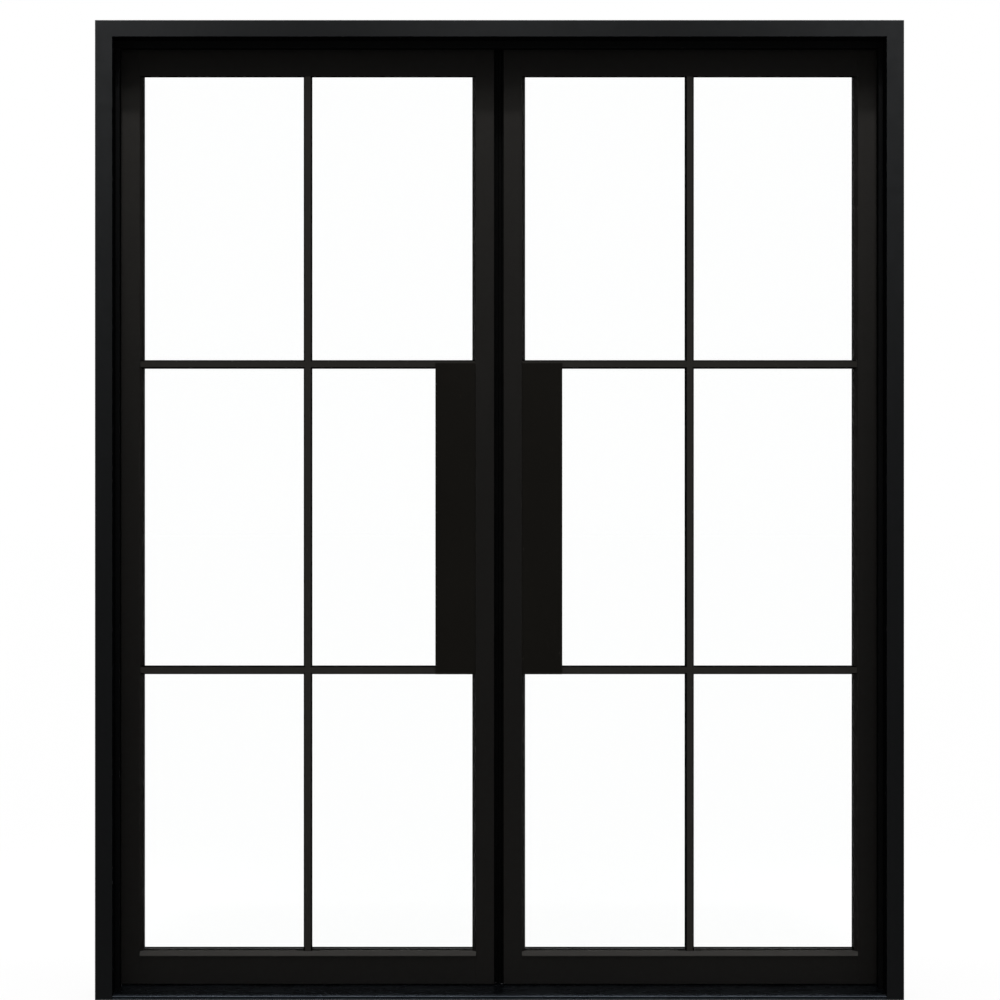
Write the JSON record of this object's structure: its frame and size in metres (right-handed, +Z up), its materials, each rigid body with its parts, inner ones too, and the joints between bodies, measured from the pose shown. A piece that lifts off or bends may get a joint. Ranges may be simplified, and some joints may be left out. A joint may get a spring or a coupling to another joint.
{
  "type": "exterior door",
  "caption": "Double-leaf glazed steel exterior door in its welded frame, with divided panes, blank lock panels, a sill, seals and lift-off hinges.",
  "frame": {"origin": "on the floor, midway across the frame and midway through its overall depth, hinges included", "axes": "X across the doorway, -Y outdoors, +Y indoors where the leaves swing, +Z up"},
  "size_m": [1.727, 0.1244, 2.092],
  "materials": {
    "frame_paint": "satin",
    "leaf_paint": "satin",
    "bar_paint": "satin",
    "sill_metal": "satin",
    "bolt_steel": "satin",
    "seal_rubber": "matte",
    "spacer": "matte",
    "glass": "polished"
  },
  "bodies": {
    "frame": {"left_jamb": "frame_paint", "right_jamb": "frame_paint", "head_jamb": "frame_paint", "left_stop": "frame_paint", "right_stop": "frame_paint", "head_stop": "frame_paint", "left_seal": "seal_rubber", "right_seal": "seal_rubber", "head_seal": "seal_rubber", "threshold": "sill_metal", "head_strike": "bolt_steel", "left_jamb_hinges": "frame_paint", "right_jamb_hinges": "frame_paint", "left_hinge_pins": "bolt_steel", "right_hinge_pins": "bolt_steel"},
    "left_leaf": {"left_hinge_stile": "leaf_paint", "left_meeting_stile": "leaf_paint", "left_top_rail": "leaf_paint", "left_bottom_rail": "leaf_paint", "left_bottom_bead": "bar_paint", "left_vertical_bar": "bar_paint", "left_upper_bars": "bar_paint", "left_lower_bars": "bar_paint", "left_lock_box": "leaf_paint", "left_lock_front_cover": "leaf_paint", "left_lock_back_cover": "leaf_paint", "left_lock_cover_screws": "bolt_steel", "left_glass_spacers": "spacer", "left_setting_blocks": "seal_rubber", "left_back_beads": "bar_paint", "left_meeting_seal": "seal_rubber", "left_bottom_sweep": "seal_rubber", "left_leaf_hinges": "frame_paint", "left_lower_glass": "glass", "left_middle_glass": "glass", "left_upper_glass": "glass"},
    "right_leaf": {"right_hinge_stile": "leaf_paint", "right_meeting_stile": "leaf_paint", "right_top_rail": "leaf_paint", "right_bottom_rail": "leaf_paint", "right_bottom_bead": "bar_paint", "right_vertical_bar": "bar_paint", "right_upper_bars": "bar_paint", "right_lower_bars": "bar_paint", "right_lock_box": "leaf_paint", "right_lock_front_cover": "leaf_paint", "right_lock_back_cover": "leaf_paint", "right_lock_cover_screws": "bolt_steel", "right_glass_spacers": "spacer", "right_setting_blocks": "seal_rubber", "right_back_beads": "bar_paint", "right_meeting_seal": "seal_rubber", "right_bottom_sweep": "seal_rubber", "right_leaf_hinges": "frame_paint", "right_lower_glass": "glass", "right_middle_glass": "glass", "right_upper_glass": "glass"},
    "top_bolt": {"top_bolt": "bolt_steel"},
    "bottom_bolt": {"bottom_bolt": "bolt_steel"}
  },
  "joints": [
    {"name": "left_swing", "type": "hinge", "parent": "frame", "child": "left_leaf", "pos_m": [-0.82475, 0.05525, 1.046], "axis": [0, 0, 1], "range_deg": [0, 110]},
    {"name": "right_swing", "type": "hinge", "parent": "frame", "child": "right_leaf", "pos_m": [0.82475, 0.05525, 1.046], "axis": [0, 0, -1], "range_deg": [0, 110]},
    {"name": "top_bolt_slide", "type": "slide", "parent": "left_leaf", "child": "top_bolt", "axis": [0, 0, 1], "range_m": [0, 0.018]},
    {"name": "bottom_bolt_slide", "type": "slide", "parent": "left_leaf", "child": "bottom_bolt", "axis": [0, 0, -1], "range_m": [0, 0.018]}
  ]
}
